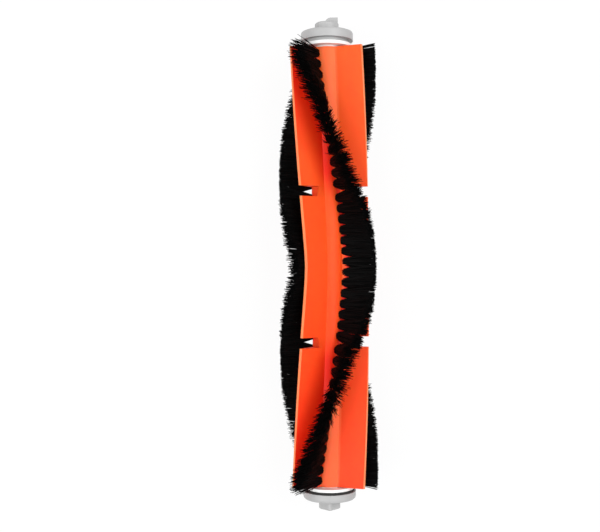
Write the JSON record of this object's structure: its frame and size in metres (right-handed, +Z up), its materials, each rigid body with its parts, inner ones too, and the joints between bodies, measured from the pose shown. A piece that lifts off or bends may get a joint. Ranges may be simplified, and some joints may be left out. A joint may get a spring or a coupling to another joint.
{
  "type": "robot vacuum roller brush",
  "caption": "Roller brush for a robot vacuum: rubber fins and bristle rows in V form, square drive end, pull-off cap with ball bearing.",
  "frame": {"origin": "on the roller's axis, halfway along its overall length", "axes": "+Y along the axis towards the bearing cap, -Y towards the square drive end, +Z up from the surface the roller lies on"},
  "size_m": [0.0348, 0.177, 0.0346],
  "materials": {
    "white_plastic": "satin moulded plastic",
    "orange_rubber": "smooth soft rubber",
    "black_nylon": "tufted nylon filaments",
    "dark_felt": "pressed felt",
    "grey_plastic": "satin moulded plastic",
    "steel": "ground steel",
    "cage_plastic": "natural nylon"
  },
  "bodies": {
    "roller": {"core": "white_plastic", "rubber_sleeve": "orange_rubber", "bristles_1_drive": "black_nylon", "bristles_1_middle": "black_nylon", "bristles_1_bearing": "black_nylon", "bristles_2_drive": "black_nylon", "bristles_2_middle": "black_nylon", "bristles_2_bearing": "black_nylon", "bristles_3_drive": "black_nylon", "bristles_3_middle": "black_nylon", "bristles_3_bearing": "black_nylon", "drive_seal": "dark_felt", "drive_plug": "grey_plastic", "stub_axle": "steel", "spacer_washer": "steel"},
    "inner_ring": {"bearing_inner_ring": "steel"},
    "cap": {"bearing_cap": "grey_plastic", "bearing_outer_ring": "steel", "inner_shield": "steel", "outer_shield": "steel"},
    "cage": {"bearing_ball_1": "steel", "bearing_ball_2": "steel", "bearing_ball_3": "steel", "bearing_ball_4": "steel", "bearing_ball_5": "steel", "bearing_ball_6": "steel", "bearing_ball_7": "steel", "ball_cage": "cage_plastic"}
  },
  "joints": [
    {"name": "cap_pull_off", "type": "slide", "parent": "roller", "child": "inner_ring", "axis": [0, 1, 0], "range_m": [0, 0.012]},
    {"name": "cap_spin", "type": "hinge", "parent": "inner_ring", "child": "cap", "pos_m": [0, 0.0812, 0], "axis": [0, 1, 0], "continuous": true},
    {"name": "cage_spin", "type": "hinge", "parent": "inner_ring", "child": "cage", "pos_m": [0, 0.0812, 0], "axis": [0, 1, 0], "continuous": true}
  ],
  "couplings": [
    {"joint": "cage_spin", "follows": "cap_spin", "ratio": 0.6364}
  ]
}
